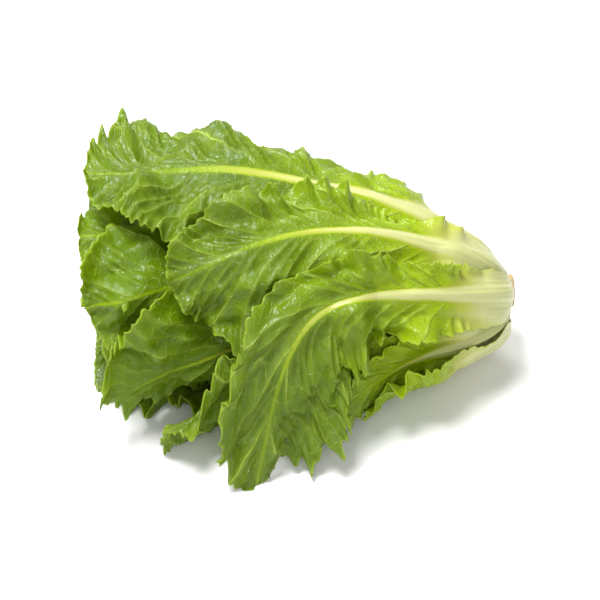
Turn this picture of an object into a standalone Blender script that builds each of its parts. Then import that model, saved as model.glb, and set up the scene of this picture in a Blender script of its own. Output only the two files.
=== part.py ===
"""A head of escarole lying on its side: a short cut stem with toothed, ruffled leaves packed round it.

The head is first laid out round its own axis, in polar terms: a distance along the axis, an angle round it and
a radius. Each leaf is a sheet that follows the head's roundness, and is laid over the leaves inside it, so that
none cross. The round head is then settled on to the surface, which presses its underside flat and spreads its
open end. Metres, +Z up. The cut end faces +X and the leaf tips face -X.
"""

import math
from dataclasses import dataclass

import bmesh
import bpy
import numpy as np
from mathutils import Vector
from mathutils.bvhtree import BVHTree

# The head
BUTT_PLACE = (0.1480, 0.0160)  # x and y of the cut end's centre
AXIS_HEIGHT = 0.064  # of the head's axis, before it settles
AXIS_SLOPE = 0.050  # rise of the axis from the cut end, per length
AXIS_MIDDLE = 0.15  # along it, where it has that height
FLOOR_SOFTNESS = 0.062  # how gradually the underside is pressed flat
FLOOR_LIFT = 0.0200  # what brings the lowest leaf down to the surface
END_SPREAD = 0.19  # widening of the open end under its own weight, as a share
END_FLATTEN = 0.01  # its lowering, as a share
OPEN_LENGTH = 0.24  # from the cut end to where the spreading is complete
SAG = 0.054  # how far the widest parts hang down
SAG_FROM = 0.085  # distance from the axis where that begins
SAG_OVER = 0.070  # and what it takes to be complete
FLAT = 0.0050  # what lies this low is let down to the surface

# The stem
STEM_RADIUS = 0.0135
STEM_TIP_RADIUS = 0.0040
STEM_LENGTH = 0.058
STEM_SIDES = 20
GAP = 0.0004  # between the stem and a leaf's foot

# Every leaf
BLADE = 0.0008  # thickness of the blade
FOOT_SHARE = 0.16  # half-width at the foot, as a share of the greatest
STALK_SHARE = 0.50  # the same where the stalk is fully broad
STALK_START = 0.10  # where that is, as a share of the length
TIP_ROW = 0.975  # the margin's share that the last row reaches
RIB_HALF_WIDTH = 0.0105  # of the midrib, at the foot of an outer leaf
RIB_LEAST = 0.0035  # the least distance from its middle to the column beside it
RIB_HEIGHT = 0.0060  # how far the midrib stands out at its thickest
TURN_LENGTH = 0.066  # over which a leaf turns from its foot to the head's direction
OUTER_TURN = 80.0  # degrees between the foot of the outermost leaf and the axis
INNER_TURN = 8.0
FOOT_START = 0.0030  # from the cut end to the outermost leaf's foot
FOOT_STEP = 0.0012  # along the stem, from one leaf's foot to the next one's
FOOT_GROWTH = 0.00004  # how that step grows inwards
SPLAY_START = 0.42  # where a tip begins to turn outwards, as a share of the length
SPLAY_SPAN = 0.45  # what it takes, the same way
WAVE = 0.070  # length of the margin's main waves
TOOTH = 0.07  # reach of the margin's teeth, as a share of the half-width
TOOTH_START = 0.0004  # what is left of that at the foot
TOOTH_PLACE = 0.62  # of a tooth between its two rows
CLEARANCE = 0.0012  # between a leaf and the one laid over it
LAYING_ROUNDS = 8
FAR = 0.5  # further out than any leaf reaches
ROWS = 19
HEART_ROWS = 12
COLUMN_SHARE = 0.60  # of the half-width, where the column between midrib and margin runs


@dataclass(frozen=True)
class Leaf:
    """One leaf. Lengths in metres and angles in degrees; a direction of 0 is up and 90 is the front, -Y."""

    name: str
    direction: float
    length: float
    half_width: float
    swing: float = 0.0  # turn of its run, from along the head to round it
    swing_start: float = 0.30  # where that begins, as a share of its length
    swing_span: float = 0.50  # what it takes, the same way
    splay: float = 0.0  # outward turn of its tip
    widest: float = 0.68  # where it is widest, as a share of its length
    waist: float = 1.0  # above 1 where its middle is narrow
    lean: float = 0.0  # how much of the width lies towards larger angles
    curl_back: float = 0.0  # outward curl of the half towards smaller angles, as a share of its width
    curl_fore: float = 0.0  # the same for the other half
    ruffle: float = 0.009  # height of the margin's waves
    covered: float = 1.0  # share of that height in the part which other leaves cover
    seed: int = 1


# From the outermost inwards
LEAVES = (
    Leaf("outer_leaf_01", 50, 0.264, 0.040, 77, 0.42, 0.50, 20, 0.80, 1.7, 0.20, 0.15, 0.00, 0.0070, 1.0, 11),
    Leaf("outer_leaf_04", 122, 0.128, 0.036, -4, 0.25, 0.50, 0, 0.66, 1.0, -0.10, 0.00, 0.00, 0.0045, 1.0, 14),
    Leaf("outer_leaf_08", 93, 0.158, 0.026, 22, 0.40, 0.40, 24, 0.78, 1.2, 0.0, 0.00, 0.00, 0.0045, 0.9, 18),
    Leaf("outer_leaf_09", 106, 0.258, 0.050, 8, 0.40, 0.50, 14, 0.76, 1.1, 0.0, 0.00, 0.00, 0.0060, 0.6, 27),
    Leaf("outer_leaf_02", 16, 0.250, 0.050, 20, 0.32, 0.50, 2, 0.74, 1.3, 0.30, 0.12, 0.00, 0.0070, 1.0, 12),
    Leaf("outer_leaf_03", -20, 0.304, 0.068, 5, 0.40, 0.50, 3, 0.54, 0.6, 0.00, 0.52, 0.10, 0.0080, 1.0, 13),
    Leaf("outer_leaf_05", 174, 0.302, 0.070, 0, 0.30, 0.50, 0, 0.74, 1.0, 0.0, 0.00, 0.00, 0.0035, 1.0, 15),
    Leaf("outer_leaf_06", -78, 0.280, 0.058, -8, 0.30, 0.50, -6, 0.74, 1.0, 0.0, 0.05, 0.22, 0.0070, 1.0, 16),
    Leaf("outer_leaf_07", -129, 0.280, 0.058, 2, 0.30, 0.50, 2, 0.74, 1.0, 0.0, 0.00, 0.05, 0.0045, 1.0, 17),
    Leaf("middle_leaf_01", 82, 0.276, 0.054, 16, 0.40, 0.50, 16, 0.76, 1.1, 0.0, 0.05, 0.00, 0.0075, 0.2, 21),
    Leaf("middle_leaf_02", -46, 0.288, 0.056, -6, 0.40, 0.50, 4, 0.76, 1.1, 0.0, 0.00, 0.00, 0.0070, 0.2, 22),
    Leaf("middle_leaf_03", 36, 0.280, 0.054, 14, 0.40, 0.50, 6, 0.76, 1.1, 0.0, 0.05, 0.00, 0.0075, 0.2, 23),
    Leaf("middle_leaf_04", -102, 0.278, 0.054, -4, 0.40, 0.50, 4, 0.76, 1.1, 0.0, 0.00, 0.00, 0.0055, 0.2, 24),
    Leaf("middle_leaf_05", 2, 0.282, 0.052, 6, 0.40, 0.50, 4, 0.76, 1.1, 0.0, 0.00, 0.00, 0.0070, 0.2, 25),
    Leaf("middle_leaf_06", 158, 0.270, 0.048, 0, 0.40, 0.50, 0, 0.76, 1.1, 0.0, 0.00, 0.00, 0.0035, 0.2, 26),
    Leaf("inner_leaf_01", 66, 0.260, 0.044, 8, 0.40, 0.50, 6, 0.76, 1.1, 0.0, 0.00, 0.00, 0.0060, 0.1, 31),
    Leaf("inner_leaf_02", -28, 0.260, 0.044, -6, 0.40, 0.50, 4, 0.76, 1.1, 0.0, 0.00, 0.00, 0.0060, 0.1, 32),
    Leaf("inner_leaf_03", -110, 0.253, 0.042, 0, 0.40, 0.50, 4, 0.76, 1.1, 0.0, 0.00, 0.00, 0.0040, 0.1, 33),
    Leaf("inner_leaf_04", 150, 0.250, 0.040, 0, 0.40, 0.50, 0, 0.76, 1.1, 0.0, 0.00, 0.00, 0.0035, 0.1, 34),
    Leaf("heart_leaf_01", 20, 0.230, 0.032, 0, 0.40, 0.50, 2, 0.76, 1.1, 0.0, 0.00, 0.00, 0.0040, 0.1, 41),
    Leaf("heart_leaf_02", 200, 0.215, 0.028, 0, 0.40, 0.50, 0, 0.76, 1.1, 0.0, 0.00, 0.00, 0.0030, 0.1, 42),
    Leaf("heart_leaf_03", -70, 0.190, 0.022, 0, 0.40, 0.50, 0, 0.76, 1.1, 0.0, 0.00, 0.00, 0.0030, 0.1, 43),
)

WIDE_LEAF = 0.068  # half-width of the big top leaf, which the others' ribs are scaled by

STEM_COLOUR = (0.62, 0.52, 0.32)
OUTER_COLOUR = (0.23, 0.42, 0.05)
MIDDLE_COLOUR = (0.32, 0.50, 0.08)
HEART_COLOUR = (0.62, 0.68, 0.25)


def smooth(share):
    """0 below 0, 1 above 1, and an even S curve between."""
    share = np.clip(share, 0.0, 1.0)
    return share * share * (3.0 - 2.0 * share)


def running_sum(values, step):
    """Sum of the steps up to each value, by the trapezium rule, starting at 0."""
    return np.concatenate([[0.0], np.cumsum((values[1:] + values[:-1]) * 0.5 * step)])


def stem_radius(along):
    """Radius of the stem at a distance along the axis from the cut end."""
    return STEM_RADIUS + (STEM_TIP_RADIUS - STEM_RADIUS) * np.clip(along / STEM_LENGTH, 0.0, 1.0)


def axis_height(along):
    """Height of the head's axis before it settles: lower at the cut end."""
    return AXIS_HEIGHT + AXIS_SLOPE * (along - AXIS_MIDDLE)


def sagged(across):
    """How far a place hangs down for its distance from the axis."""
    return SAG * smooth((np.abs(across) - SAG_FROM) / SAG_OVER)


def settled(polar):
    """World points of polar ones. The open end spreads and sinks, and the underside is pressed flat."""
    along, angle, radius = polar
    openness = smooth(along / OPEN_LENGTH)
    across = -radius * np.sin(angle) * (1.0 + END_SPREAD * openness)
    height = axis_height(along) + radius * np.cos(angle) * (1.0 - END_FLATTEN * openness) - sagged(across)
    height = 0.5 * (height + np.sqrt(height * height + FLOOR_SOFTNESS**2)) - FLOOR_LIFT
    return np.stack([BUTT_PLACE[0] - along, BUTT_PLACE[1] + across, height], axis=-1)


def rounded(points):
    """The reverse of settled, as points about the head's axis: along it, across and up."""
    along = BUTT_PLACE[0] - points[..., 0]
    openness = smooth(along / OPEN_LENGTH)
    across = points[..., 1] - BUTT_PLACE[1]
    height = points[..., 2] + FLOOR_LIFT
    height = height - FLOOR_SOFTNESS**2 / (4.0 * height) - axis_height(along) + sagged(across)
    across = across / (1.0 + END_SPREAD * openness)
    return np.stack([along, across, height / (1.0 - END_FLATTEN * openness)], axis=-1)


def pressed(points):
    """How much the settling thins things, at points about the head's axis: 1 where it leaves them alone."""
    height = axis_height(points[..., 0]) + points[..., 2]
    share = 0.5 * (1.0 + height / np.sqrt(height * height + FLOOR_SOFTNESS**2))
    upright = np.abs(points[..., 2]) / np.hypot(points[..., 1], points[..., 2])
    return 1.0 - (1.0 - share) * upright


def between_rows(values):
    """Values where the teeth stand, between those of one row and the next."""
    return values[:-1] + TOOTH_PLACE * (values[1:] - values[:-1])


class LeafSheet:
    """The inner face of one leaf. v runs from foot to tip, and t from edge to edge, -1 to 1."""

    def __init__(self, leaf, rank):
        self.leaf = leaf
        self.size = leaf.half_width / WIDE_LEAF
        self.rib_scale = min(1.0, 0.35 + 0.65 * self.size) if rank < 8 else 0.15 + 0.35 * self.size
        self.under = smooth((abs(leaf.direction) - 100.0) / 45.0)
        self.draw_profile(rank)
        self.draw_spine()
        self.draw_outline()
        self.phases = np.random.default_rng(leaf.seed).uniform(0.0, 2.0 * math.pi, (2, 3))
        self.rows = HEART_ROWS if leaf.name.startswith("heart") else ROWS
        self.v, self.t = self.grid()
        self.push = np.zeros(self.v.shape)

    def draw_profile(self, rank):
        """The round surface that the leaf follows. Its slope from the axis dies away from the foot."""
        inwards = rank / (len(LEAVES) - 1)
        turn = math.radians(OUTER_TURN + (INNER_TURN - OUTER_TURN) * inwards**0.85)
        foot = FOOT_START + FOOT_STEP * rank + FOOT_GROWTH * rank**2
        self.run = np.linspace(0.0, 0.42, 421)
        slope = turn * np.exp(-self.run / TURN_LENGTH)
        self.slope = slope
        self.along = foot + running_sum(np.cos(slope), self.run[1])
        self.radius = stem_radius(foot) + GAP + running_sum(np.sin(slope), self.run[1])

    def draw_spine(self):
        """The midrib's line: how far it has run along the head and round it, and how far it stands off it."""
        leaf = self.leaf
        self.arc = np.linspace(0.0, leaf.length, 241)
        share = self.arc / leaf.length
        step = self.arc[1]
        self.heading = math.radians(leaf.swing) * smooth((share - leaf.swing_start) / leaf.swing_span)
        lift = math.radians(leaf.splay) * smooth((share - SPLAY_START) / SPLAY_SPAN)
        self.spine_run = running_sum(np.cos(lift) * np.cos(self.heading), step)
        self.spine_off = running_sum(np.sin(lift), step)
        near = np.interp(self.spine_run, self.run, self.radius) + self.spine_off
        round_step = np.cos(lift) * np.sin(self.heading) / near
        self.spine_angle = math.radians(leaf.direction) + running_sum(round_step, step)

    def draw_outline(self):
        """The margin. From a broad stalk the half-width rises to the widest place and closes as an ellipse."""
        leaf = self.leaf
        share = np.linspace(0.0, 1.0, 401)
        stalk = FOOT_SHARE + (STALK_SHARE - FOOT_SHARE) * smooth(share / STALK_START)
        rise = smooth((share - STALK_START) / (leaf.widest - STALK_START)) ** leaf.waist
        closing = np.sqrt(np.clip(1.0 - ((share - leaf.widest) / (1.0 - leaf.widest)) ** 2, 0.0, 1.0))
        half = np.where(share < leaf.widest, stalk + (1.0 - stalk) * rise, closing)
        self.edge_width = leaf.half_width * half
        self.edge_along = leaf.length * share
        steps = np.hypot(np.diff(self.edge_width), np.diff(self.edge_along))
        self.margin = np.concatenate([[0.0], np.cumsum(steps)])

    def half_width(self, v):
        """Distance from midrib to margin."""
        return np.interp(v * self.margin[-1], self.margin, self.edge_width)

    def flat_place(self, v, t):
        """Place on the leaf laid flat: across from the midrib, and along it. Rows bend forward as veins do."""
        reach = np.interp(v * self.margin[-1], self.margin, self.edge_along)
        middle = v * self.leaf.length
        across = t * self.half_width(v) * (1.0 + self.leaf.lean * np.sign(t))
        return across, middle + np.abs(t) ** 1.5 * (reach - middle)

    def rib_width(self, v):
        """Half-width of the midrib."""
        return RIB_HALF_WIDTH * self.rib_scale * (1.0 - 0.88 * v)

    def grid(self):
        """v and t of the corners: a column on the midrib, and three more on each side, out to the margin."""
        low = np.linspace(0.0, 0.30, self.rows // 3, endpoint=False)
        v_rows = np.concatenate([low, np.linspace(0.30, TIP_ROW, self.rows - len(low))])
        rib = np.maximum(1.3 * self.rib_width(v_rows), RIB_LEAST) / self.half_width(v_rows)
        rib = np.minimum(rib, 0.42)
        even = np.ones(self.rows)
        columns = [-even, -COLUMN_SHARE * even, -rib, 0.0 * even, rib, COLUMN_SHARE * even, even]
        return np.repeat(v_rows[:, None], len(columns), axis=1), np.stack(columns, axis=1)

    def rise(self, v, t):
        """How far the blade stands off the round surface: the margin's waves, and the curl of either half."""
        leaf = self.leaf
        run = v * self.margin[-1] / WAVE * 2.0 * math.pi
        side = (t > 0).astype(int)
        first, second, third = (self.phases[side, k] for k in range(3))
        main = np.sin(run + first + 0.7 * np.sin(0.37 * run + second))
        slow = np.sin(0.43 * run + third)
        shown = leaf.covered + (1.0 - leaf.covered) * smooth((v - 0.55) / 0.25)
        grown = smooth((v - 0.10) / 0.30) * shown * (0.4 + 0.6 * smooth((1.0 - v) / 0.12))
        waves = leaf.ruffle * grown * np.abs(t) ** 1.7 * (main + 0.35 * slow)
        share = np.where(t > 0, leaf.curl_fore, leaf.curl_back) * smooth((v - 0.12) / 0.25)
        return waves + share * self.half_width(v) * np.abs(t) ** 2.2

    def polar(self, v, t, push):
        """Distance along the head's axis, angle round it and radius, for the inner face."""
        across, arc = self.flat_place(v, t)
        heading = np.interp(arc, self.arc, self.heading)
        run = np.interp(arc, self.arc, self.spine_run) - across * np.sin(heading)
        radius = np.interp(run, self.run, self.radius) + np.interp(arc, self.arc, self.spine_off)
        slope = np.interp(run, self.run, self.slope)
        rise = self.rise(v, t)
        angle = np.interp(arc, self.arc, self.spine_angle) + across * np.cos(heading) / (radius + push)
        along = np.interp(run, self.run, self.along) - rise * np.sin(slope)
        return along, angle, radius + rise * np.cos(slope) + push

    def thickness(self, v, t):
        """The blade, and the midrib that stands out of its outer face."""
        across, _ = self.flat_place(v, t)
        swell = (0.45 + 0.55 * smooth(v / 0.10)) * (1.0 - smooth(v / 0.95)) ** 1.3
        swell = swell * (1.0 - 0.7 * self.under * smooth((v - 0.05) / 0.3))
        return BLADE + RIB_HEIGHT * self.rib_scale * swell * np.exp(-1.2 * (across / self.rib_width(v)) ** 2)

    def corners(self):
        """World points of the inner and outer faces: the grid's, then a tooth between rows on either margin."""
        inner = settled(self.polar(self.v, self.t, self.push))
        outwards = settled(self.polar(self.v, self.t, self.push + 0.001)) - inner
        normal = np.cross(np.gradient(inner, axis=1), np.gradient(inner, axis=0))
        normal /= np.linalg.norm(normal, axis=-1, keepdims=True)
        normal *= np.sign(np.sum(normal * outwards, axis=-1, keepdims=True))
        outer = inner + normal * self.thickness(self.v, self.t)[..., None]
        near, far = [inner.reshape(-1, 3)], [outer.reshape(-1, 3)]
        v = between_rows(self.v[:, 0])
        reach = (TOOTH_START + TOOTH * smooth(v / 0.3) * self.half_width(v))[:, None]
        for edge, beside in ((0, 1), (-1, -2)):
            sideways = between_rows(inner[:, edge] - inner[:, beside])
            sideways *= reach / np.linalg.norm(sideways, axis=-1, keepdims=True)
            near.append(between_rows(inner[:, edge]) + sideways)
            far.append(between_rows(outer[:, edge]) + sideways)
        return np.concatenate(near), np.concatenate(far)

    def triangles(self):
        """Triangles of the inner face, and the corners of its rim in turn."""
        rows, width = self.v.shape
        left = rows * width
        right = left + rows - 1
        faces = []
        for i in range(rows - 1):
            first, after = i * width, (i + 1) * width
            for j in range(width - 1):
                a, b, c, d = first + j, first + j + 1, after + j + 1, after + j
                faces += [(a, b, c), (a, c, d)] if (i + j) % 2 else [(a, b, d), (b, c, d)]
            faces.append((first, after, left + i))
            faces.append((first + width - 1, right + i, after + width - 1))
        rim = list(range(width))
        for i in range(rows - 1):
            rim += [right + i, (i + 2) * width - 1]
        rim += [(rows - 1) * width + j for j in range(width - 2, -1, -1)]
        for i in range(rows - 2, 0, -1):
            rim += [left + i, i * width]
        return faces, rim + [left]


def spread_out(push):
    """Lets each row and column share the greatest of its neighbours' values, then evens them."""
    rows, width = push.shape
    padded = np.pad(push, 1, mode="edge")
    greatest = np.maximum.reduce([padded[a:a + rows, b:b + width] for a in range(3) for b in range(3)])
    padded = np.pad(greatest, 1, mode="edge")
    return sum(padded[a:a + rows, b:b + width] for a in range(3) for b in range(3)) / 9.0


# Places within a triangle, as shares of its corners, where its distance from the leaf inside it is felt
PROBES = np.array([(a, b, 6 - a - b) for a in range(7) for b in range(7 - a)]) / 6.0


def too_close(sheet, faces, laid):
    """How far each grid corner has to move out for the leaf to clear what is already laid."""
    near, _ = sheet.corners()
    corners = np.array(faces)
    probes = np.einsum("pc,fcx->fpx", PROBES, rounded(near)[corners])
    need = np.zeros(probes.shape[:2])
    across = np.hypot(probes[..., 1], probes[..., 2])
    clear = CLEARANCE / pressed(probes)
    for index in np.ndindex(need.shape):
        x, y, z = probes[index]
        radius = across[index]
        outwards = Vector((0.0, y / radius, z / radius))
        hit = laid.ray_cast(Vector((x, 0.0, 0.0)) + outwards * FAR, -outwards, FAR)[3]
        if hit is not None:
            need[index] = FAR - hit + clear[index] - radius
    worst = np.maximum(need.max(axis=1), 0.0)
    at_corner = np.zeros(len(near))
    for k in range(3):
        np.maximum.at(at_corner, corners[:, k], worst)
    rows, width = sheet.v.shape
    grid = at_corner[:rows * width].reshape(rows, width)
    for column, start in ((0, rows * width), (width - 1, rows * width + rows - 1)):
        tooth = at_corner[start:start + rows - 1]
        grid[:-1, column] = np.maximum(grid[:-1, column], tooth)
        grid[1:, column] = np.maximum(grid[1:, column], tooth)
    return grid


def lay_leaves(stem_points, stem_faces):
    """Lays each leaf over the stem and the leaves inside it, from the heart outwards."""
    sheets = [LeafSheet(leaf, rank) for rank, leaf in enumerate(LEAVES)]
    points, faces = [rounded(stem_points)], [tuple(face) for face in stem_faces]
    count = len(stem_points)
    for sheet in reversed(sheets):
        laid = BVHTree.FromPolygons([tuple(p) for p in np.concatenate(points)], faces)
        own, _ = sheet.triangles()
        for turn in range(LAYING_ROUNDS):
            need = too_close(sheet, own, laid)
            if need.max() <= 0.0:
                break
            sheet.push += spread_out(need) if turn < 2 else need
        for face_points in sheet.corners():
            points.append(rounded(face_points))
            faces += [(a + count, b + count, c + count) for a, b, c in own]
            count += len(face_points)
    return sheets


def let_down(near, far):
    """Both faces of a leaf, with what lies nearly on the surface let down on to it."""
    low = np.minimum(near[:, 2], far[:, 2])
    drop = np.minimum(low, FLAT) * (1.0 - smooth((low - FLAT) / (3.0 * FLAT)))
    shift = drop[:, None] * np.array([0.0, 0.0, 1.0])
    return near - shift, far - shift


def leaf_mesh(sheet, origin):
    """Points and triangles of a leaf as one closed solid, both faces split alike."""
    near, far = (points - origin for points in sheet.corners())
    near, far = let_down(near, far)
    own, rim = sheet.triangles()
    count = len(near)
    faces = list(own) + [(a + count, c + count, b + count) for a, b, c in own]
    for here, there in zip(rim, rim[1:] + rim[:1]):
        faces += [(here, here + count, there + count), (here, there + count, there)]
    return np.concatenate([near, far]), faces


def coloured(name, colour, roughness):
    """A plain material of one colour."""
    material = bpy.data.materials.new(name)
    material.use_nodes = True
    surface = material.node_tree.nodes["Principled BSDF"]
    surface.inputs["Base Color"].default_value = (*colour, 1.0)
    surface.inputs["Roughness"].default_value = roughness
    surface.inputs["Metallic"].default_value = 0.0
    return material


def add_object(name, points, faces, material):
    """A mesh object with its faces pointing outwards."""
    mesh = bpy.data.meshes.new(name)
    mesh.from_pydata(points.tolist(), [], faces)
    work = bmesh.new()
    work.from_mesh(mesh)
    bmesh.ops.recalc_face_normals(work, faces=work.faces[:])
    work.to_mesh(mesh)
    work.free()
    mesh.materials.append(material)
    item = bpy.data.objects.new(name, mesh)
    bpy.context.scene.collection.objects.link(item)


def stem_mesh():
    """The stem: a turned cone with a slightly rounded cut end."""
    profile = ((0.0, STEM_RADIUS - 0.0015), (0.0012, STEM_RADIUS - 0.0003), (STEM_LENGTH, STEM_TIP_RADIUS))
    turn = np.arange(STEM_SIDES) * 2.0 * math.pi / STEM_SIDES
    even = np.ones(STEM_SIDES)
    rings = [settled((along * even, turn, radius * even)) for along, radius in profile]
    ends = settled((np.array([0.0, STEM_LENGTH]), np.zeros(2), np.zeros(2)))
    points = np.concatenate([*rings, ends])
    start, end = len(points) - 2, len(points) - 1
    last = (len(profile) - 1) * STEM_SIDES
    faces = []
    for k in range(STEM_SIDES):
        n = (k + 1) % STEM_SIDES
        faces.append((start, k, n))
        faces.append((end, last + n, last + k))
        for ring in range(len(profile) - 1):
            low, high = ring * STEM_SIDES, (ring + 1) * STEM_SIDES
            faces += [(low + k, high + k, high + n), (low + k, high + n, low + n)]
    return points, faces


def main():
    """Clears the scene and builds the stem and every leaf."""
    for item in list(bpy.data.objects):
        bpy.data.objects.remove(item)
    outer = coloured("outer_green", OUTER_COLOUR, 0.45)
    middle = coloured("middle_green", MIDDLE_COLOUR, 0.45)
    heart = coloured("heart_yellow", HEART_COLOUR, 0.45)
    stem_points, stem_faces = stem_mesh()
    sheets = lay_leaves(stem_points, stem_faces)
    everything = np.concatenate([stem_points, *(points for sheet in sheets for points in sheet.corners())])
    low, high = everything.min(axis=0), everything.max(axis=0)
    origin = np.array([(low[0] + high[0]) * 0.5, (low[1] + high[1]) * 0.5, low[2]])
    add_object("stem", stem_points - origin, stem_faces, coloured("cut_stem", STEM_COLOUR, 0.7))
    for sheet in sheets:
        name = sheet.leaf.name
        material = heart if name.startswith("heart") else outer if name.startswith("outer") else middle
        add_object(name, *leaf_mesh(sheet, origin), material)


main()
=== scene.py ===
"""A head of escarole lying on its side: the finished leaves and the cut stem.

Every leaf is laid as its solid is, as a sheet that follows the round head over the leaves inside it. On that
come the finer forms: frilled and toothed margins, side veins, blisters and ridges along the stalk. Each leaf
stays a closed sheet of its own. Metres, +Z up; the cut end faces +X and the leaf tips face -X.
"""

import logging
import math
from dataclasses import dataclass, field
from enum import Enum

import bpy
import numpy as np
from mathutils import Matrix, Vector
from mathutils.bvhtree import BVHTree


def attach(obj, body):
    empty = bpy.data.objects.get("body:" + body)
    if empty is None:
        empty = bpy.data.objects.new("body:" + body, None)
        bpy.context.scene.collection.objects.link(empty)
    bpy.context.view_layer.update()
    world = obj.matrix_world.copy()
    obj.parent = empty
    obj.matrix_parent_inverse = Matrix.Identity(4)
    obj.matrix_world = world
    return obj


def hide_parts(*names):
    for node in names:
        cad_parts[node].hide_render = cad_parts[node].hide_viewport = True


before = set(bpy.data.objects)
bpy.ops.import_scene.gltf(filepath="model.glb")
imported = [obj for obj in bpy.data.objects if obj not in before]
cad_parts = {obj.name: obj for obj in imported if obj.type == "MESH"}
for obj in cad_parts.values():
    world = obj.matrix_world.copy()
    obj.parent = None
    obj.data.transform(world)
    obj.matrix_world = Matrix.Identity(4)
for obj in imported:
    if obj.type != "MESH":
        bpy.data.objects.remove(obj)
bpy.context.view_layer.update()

FULL_TURN = 2.0 * math.pi
log = logging.getLogger("escarole")


def smooth(values: np.ndarray, start: float = 0.0, over: float = 1.0) -> np.ndarray:
    """0 up to start, 1 from start + over on, and s*s*(3 - 2s) between, with s the share of the way."""
    share = np.clip((values - start) / over, 0.0, 1.0)
    return share * share * (3.0 - 2.0 * share)


def running_sum(values: np.ndarray, step: float) -> np.ndarray:
    """Sum of the steps up to each value, by the trapezium rule, starting at 0."""
    return np.concatenate([[0.0], np.cumsum((values[1:] + values[:-1]) * 0.5 * step)])


def evened(values: np.ndarray, reach: int) -> np.ndarray:
    """Moving average over a grid.

    Args:
        values: a grid of numbers.
        reach: how many neighbours on each side count.

    Returns:
        mean of values[i-reach..i+reach, j-reach..j+reach], with the border's values repeated beyond it.
    """
    for axis in (0, 1):
        margins = [(reach + 1, reach) if k == axis else (0, 0) for k in (0, 1)]
        total = np.cumsum(np.pad(values, margins, mode="edge"), axis=axis)
        count = values.shape[axis]
        high = np.take(total, np.arange(2 * reach + 1, 2 * reach + 1 + count), axis=axis)
        values = (high - np.take(total, np.arange(count), axis=axis)) / (2 * reach + 1)
    return values


def spread_out(values: np.ndarray) -> np.ndarray:
    """Each value's greatest neighbour over a 3 by 3 block, then the mean over 3 by 3."""
    rows, width = values.shape
    padded = np.pad(values, 1, mode="edge")
    greatest = np.maximum.reduce([padded[a:a + rows, b:b + width] for a in range(3) for b in range(3)])
    padded = np.pad(greatest, 1, mode="edge")
    return sum(padded[a:a + rows, b:b + width] for a in range(3) for b in range(3)) / 9.0


def widened(values: np.ndarray, reach: int) -> np.ndarray:
    """Each value's greatest neighbour among values[i-reach..i+reach, j-reach..j+reach]."""
    for axis in (0, 1):
        padded = np.pad(values, [(reach, reach) if k == axis else (0, 0) for k in (0, 1)], mode="edge")
        count = values.shape[axis]
        shifted = [np.take(padded, np.arange(k, k + count), axis=axis) for k in range(2 * reach + 1)]
        values = np.maximum.reduce(shifted)
    return values


@dataclass(frozen=True)
class HeadShape:
    """The round head before and after it settles on the surface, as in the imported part's own source."""

    butt_place: tuple[float, float] = (0.1480, 0.0160)
    height: float = 0.064
    slope: float = 0.050
    middle: float = 0.15
    softness: float = 0.062
    lift: float = 0.0200
    spread: float = 0.19
    flatten: float = 0.01
    open_length: float = 0.24
    sag: float = 0.054
    sag_from: float = 0.085
    sag_over: float = 0.070
    flat: float = 0.0050
    stem_base: float = 0.0135
    stem_tip: float = 0.0040
    stem_length: float = 0.058

    def stem_radius(self, along: np.ndarray) -> np.ndarray:
        """Radius of the stem at a distance from the cut end."""
        return self.stem_base + (self.stem_tip - self.stem_base) * np.clip(along / self.stem_length, 0.0, 1.0)

    def axis_height(self, along: np.ndarray) -> np.ndarray:
        """Height of the head's axis: height + slope * (along - middle)."""
        return self.height + self.slope * (along - self.middle)

    def sagged(self, across: np.ndarray) -> np.ndarray:
        """How far a place hangs down for its distance from the axis."""
        return self.sag * smooth(np.abs(across), self.sag_from, self.sag_over)

    def settled(self, along: np.ndarray, angle: np.ndarray, radius: np.ndarray) -> np.ndarray:
        """World points of polar ones.

        With o the openness, y = -r sin(a) (1 + spread o) and h = axis + r cos(a) (1 - flatten o) - sag. Then
        z = (h + sqrt(h^2 + softness^2)) / 2 - lift, which presses the underside flat.

        Args:
            along: distance from the cut end along the axis.
            angle: angle round the axis from straight up.
            radius: distance from the axis.

        Returns:
            Points with x, y and z in their last axis.
        """
        openness = smooth(along / self.open_length)
        across = -radius * np.sin(angle) * (1.0 + self.spread * openness)
        height = self.axis_height(along) + radius * np.cos(angle) * (1.0 - self.flatten * openness)
        height = height - self.sagged(across)
        height = 0.5 * (height + np.sqrt(height * height + self.softness**2)) - self.lift
        return np.stack([self.butt_place[0] - along, self.butt_place[1] + across, height], axis=-1)

    def rounded(self, points: np.ndarray) -> np.ndarray:
        """The reverse of settled: distance along the axis, across it and up from it."""
        along = self.butt_place[0] - points[..., 0]
        openness = smooth(along / self.open_length)
        across = points[..., 1] - self.butt_place[1]
        height = points[..., 2] + self.lift
        height = height - self.softness**2 / (4.0 * height) - self.axis_height(along) + self.sagged(across)
        across = across / (1.0 + self.spread * openness)
        return np.stack([along, across, height / (1.0 - self.flatten * openness)], axis=-1)

    def pressed(self, points: np.ndarray) -> np.ndarray:
        """How much settling thins things at points about the axis: 1 where it leaves them alone."""
        height = self.axis_height(points[..., 0]) + points[..., 2]
        share = 0.5 * (1.0 + height / np.sqrt(height * height + self.softness**2))
        upright = np.abs(points[..., 2]) / np.hypot(points[..., 1], points[..., 2])
        return 1.0 - (1.0 - share) * upright


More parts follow.
